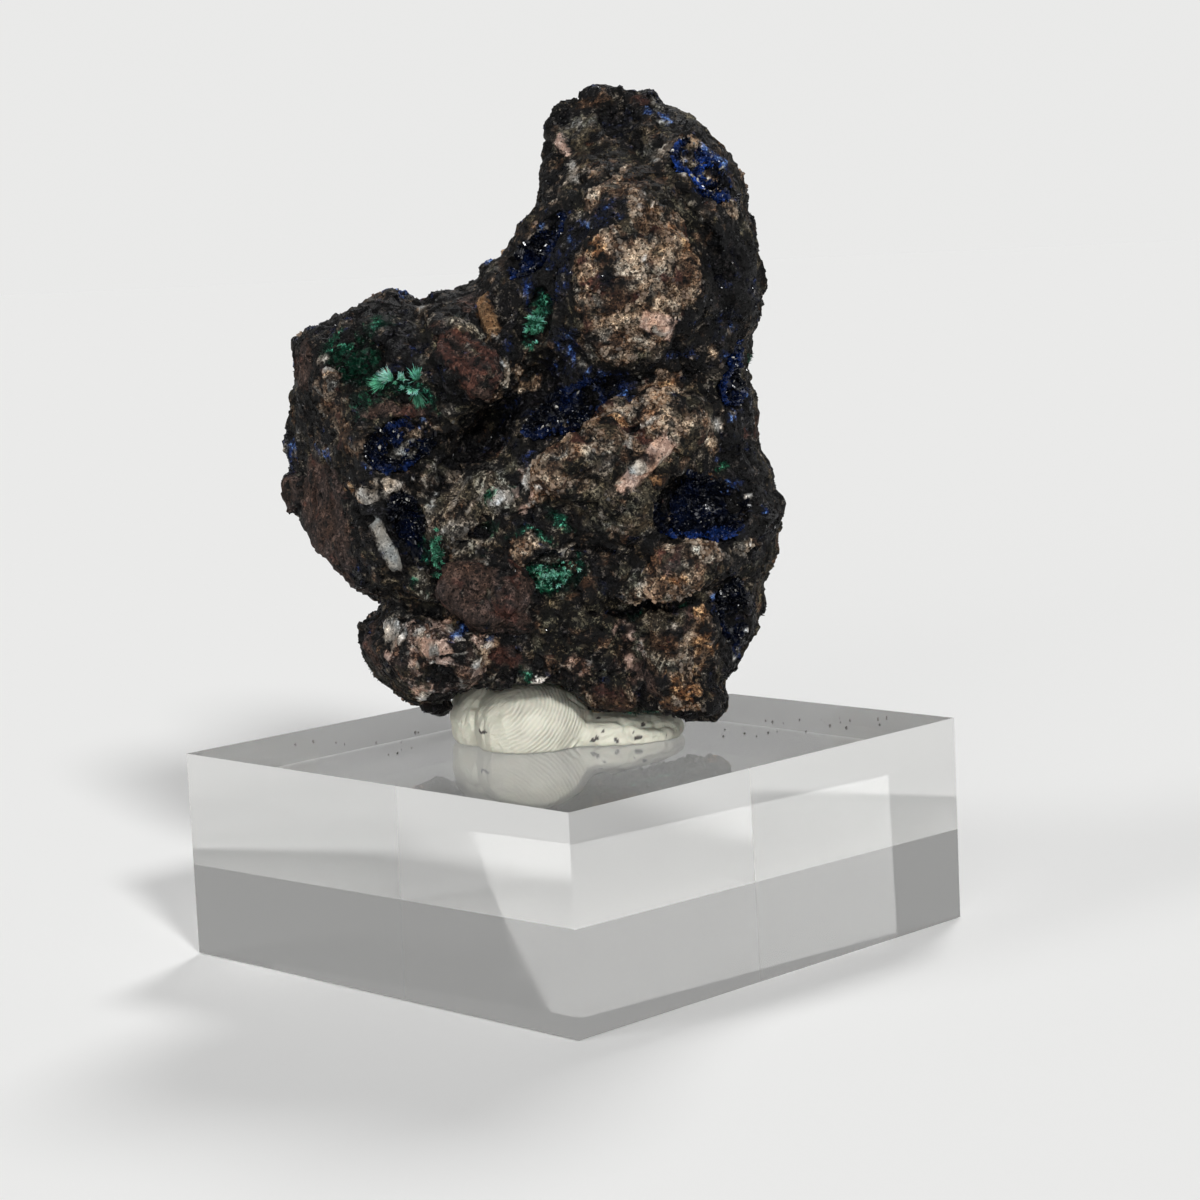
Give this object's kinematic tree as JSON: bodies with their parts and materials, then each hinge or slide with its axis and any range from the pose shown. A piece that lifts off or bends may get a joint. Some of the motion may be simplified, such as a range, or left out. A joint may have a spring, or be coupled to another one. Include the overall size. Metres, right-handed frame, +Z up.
{
  "type": "azurite and malachite specimen on acrylic block",
  "caption": "Rough lump of breccia with azurite crusts and malachite sprays, held by white putty on a square clear display block.",
  "frame": {"origin": "middle of the clear block's bottom face", "axes": "+Z up, -Y towards the viewer of the show face, +X to the viewer's right; the block is turned so that one corner points along -Y"},
  "size_m": [0.0716, 0.0716, 0.0786],
  "materials": {
    "clear_acrylic": "polished clear",
    "putty": "matte, hand-pressed",
    "breccia": "rough broken",
    "azurite": "glassy crystal faces",
    "malachite": "silky needles"
  },
  "bodies": {
    "root": {"acrylic_block": "clear_acrylic", "mounting_putty": "putty", "breccia_matrix": "breccia", "azurite_crust_right_pocket": "azurite", "azurite_crust_upper_right": "azurite", "azurite_crust_band": "azurite", "azurite_crust_cleft": "azurite", "azurite_crust_left": "azurite", "azurite_crust_left_pocket": "azurite", "azurite_crust_right_edge": "azurite", "azurite_crust_lower_right": "azurite", "azurite_crust_back": "azurite", "malachite_carpet_left": "malachite", "malachite_fan_left": "malachite", "malachite_tuft_upper": "malachite", "malachite_tuft_lower": "malachite", "malachite_strip_left": "malachite", "malachite_back": "malachite"}
  },
  "joints": []
}
